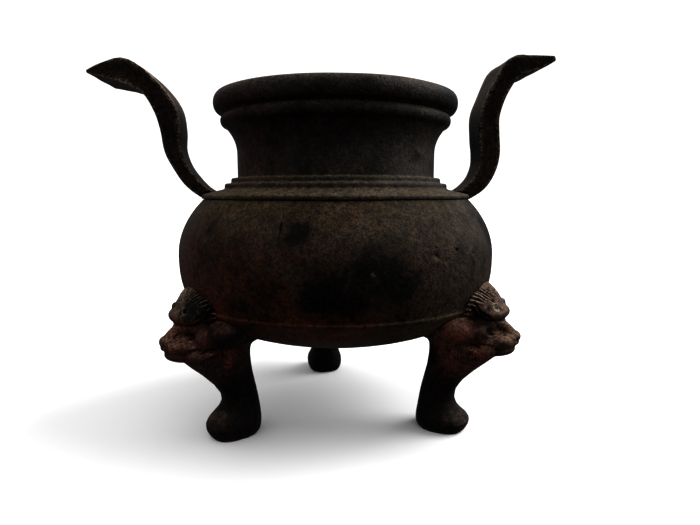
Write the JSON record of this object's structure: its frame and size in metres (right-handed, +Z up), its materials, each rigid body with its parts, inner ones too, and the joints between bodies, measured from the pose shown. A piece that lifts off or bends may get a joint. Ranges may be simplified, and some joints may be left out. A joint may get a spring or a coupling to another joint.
{
  "type": "incense burner",
  "caption": "Squat round tripod incense burner with a shoulder flange, short neck, rolled lip, upswept strap handles and mask-headed legs.",
  "frame": {"origin": "middle of the whole outline's footprint, on the surface the feet stand on", "axes": "+Z up out of the mouth, +X from the left handle to the right handle, -Y towards the side the picture shows"},
  "size_m": [0.2458, 0.192, 0.2021],
  "materials": {
    "bowl_bronze": "sand-cast bronze, dark brown patina with soot and ochre dirt",
    "collar_bronze": "sand-cast bronze, dark brown patina, dirt on the steps",
    "leg_bronze": "sand-cast bronze, reddish brown patina, black on the feet",
    "handle_bronze": "filed bronze, almost black patina",
    "rove_bronze": "hammered bronze, brown patina"
  },
  "bodies": {
    "root": {"bowl": "bowl_bronze", "neck_collar": "collar_bronze", "front_left_leg": "leg_bronze", "front_right_leg": "leg_bronze", "rear_leg": "leg_bronze", "left_handle": "handle_bronze", "right_handle": "handle_bronze", "front_left_leg_rove": "rove_bronze", "front_right_leg_rove": "rove_bronze", "rear_leg_rove": "rove_bronze", "left_handle_rove": "rove_bronze", "right_handle_rove": "rove_bronze"}
  },
  "joints": []
}
